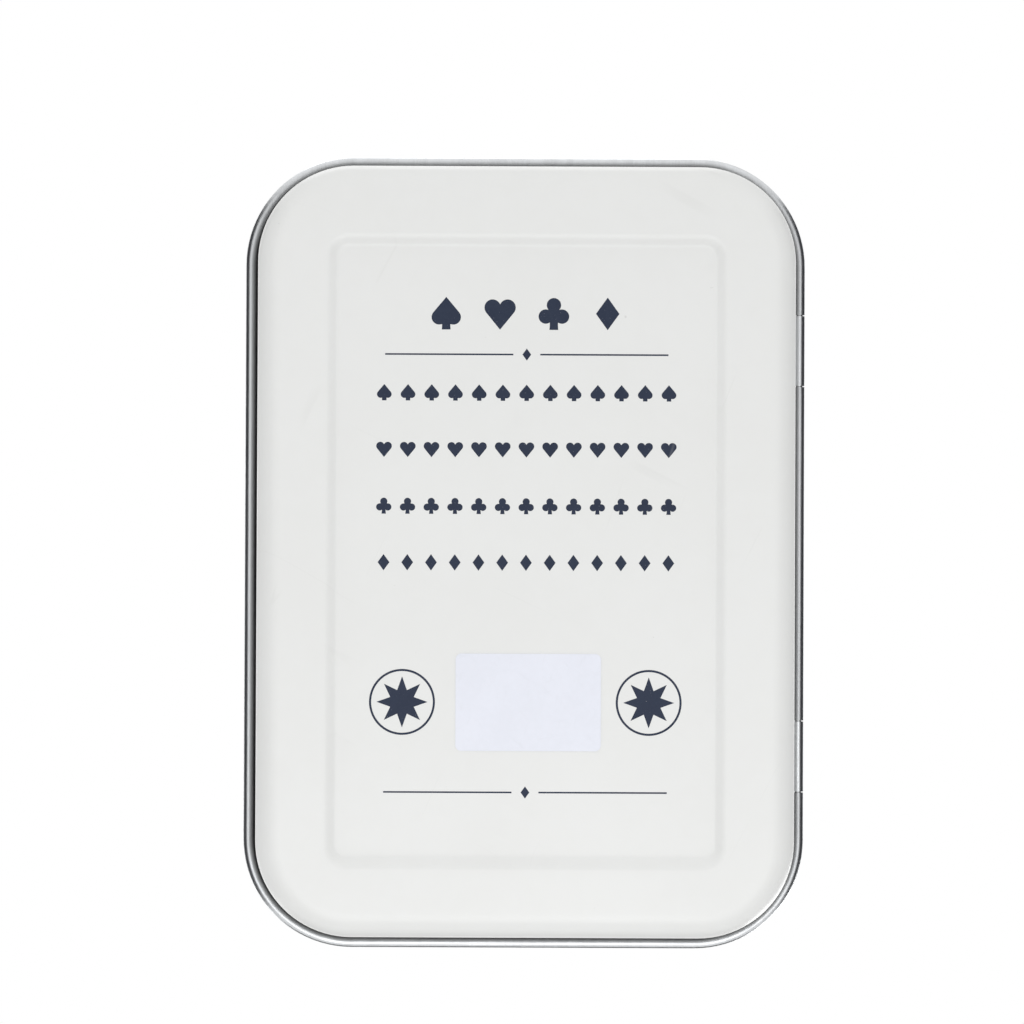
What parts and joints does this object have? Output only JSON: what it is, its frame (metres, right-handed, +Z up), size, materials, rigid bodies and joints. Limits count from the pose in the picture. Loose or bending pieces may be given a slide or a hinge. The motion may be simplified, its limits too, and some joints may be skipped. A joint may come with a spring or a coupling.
{
  "type": "card game tin with hinged lid",
  "caption": "Flat rectangular tinplate box with round corners, a hinged lid with a rolled edge, and an inner tray that holds one deck of playing cards.",
  "frame": {"origin": "on the plane that the closed tin rests on, under the middle of its outline", "axes": "+Z up through the lid, +X towards the opening side with the hinge on -X, +Y along the hinge"},
  "size_m": [0.08, 0.113, 0.021],
  "materials": {
    "base_enamel": "white enamel on tinplate, satin gloss, rubbed at the edges",
    "lid_enamel": "white enamel on tinplate, satin gloss, rubbed at the edges",
    "bare_tinplate": "bare tinplate with a fine rolling grain, satin bright",
    "print_ink": "thin navy printing ink, satin",
    "tray_plastic": "vacuum-formed black polystyrene, satin",
    "leaflet_paper": "uncoated paper, matt",
    "card_stock": "coated card, linen embossed, semi-gloss",
    "label_paper": "coated label paper, cool white, semi-gloss"
  },
  "bodies": {
    "base": {"base_shell": "base_enamel", "hinge_wire": "bare_tinplate", "card_tray": "tray_plastic", "rules_leaflet": "leaflet_paper", "cards_spades": "card_stock", "cards_hearts": "card_stock", "cards_diamonds": "card_stock", "cards_clubs": "card_stock", "cards_jokers": "card_stock", "back_label": "label_paper"},
    "lid": {"lid_shell": "lid_enamel"}
  },
  "joints": [
    {"name": "lid_hinge", "type": "hinge", "parent": "base", "child": "lid", "pos_m": [-0.03925, 0, 0.0133], "axis": [0, -1, 0], "range_deg": [0, 180]}
  ]
}
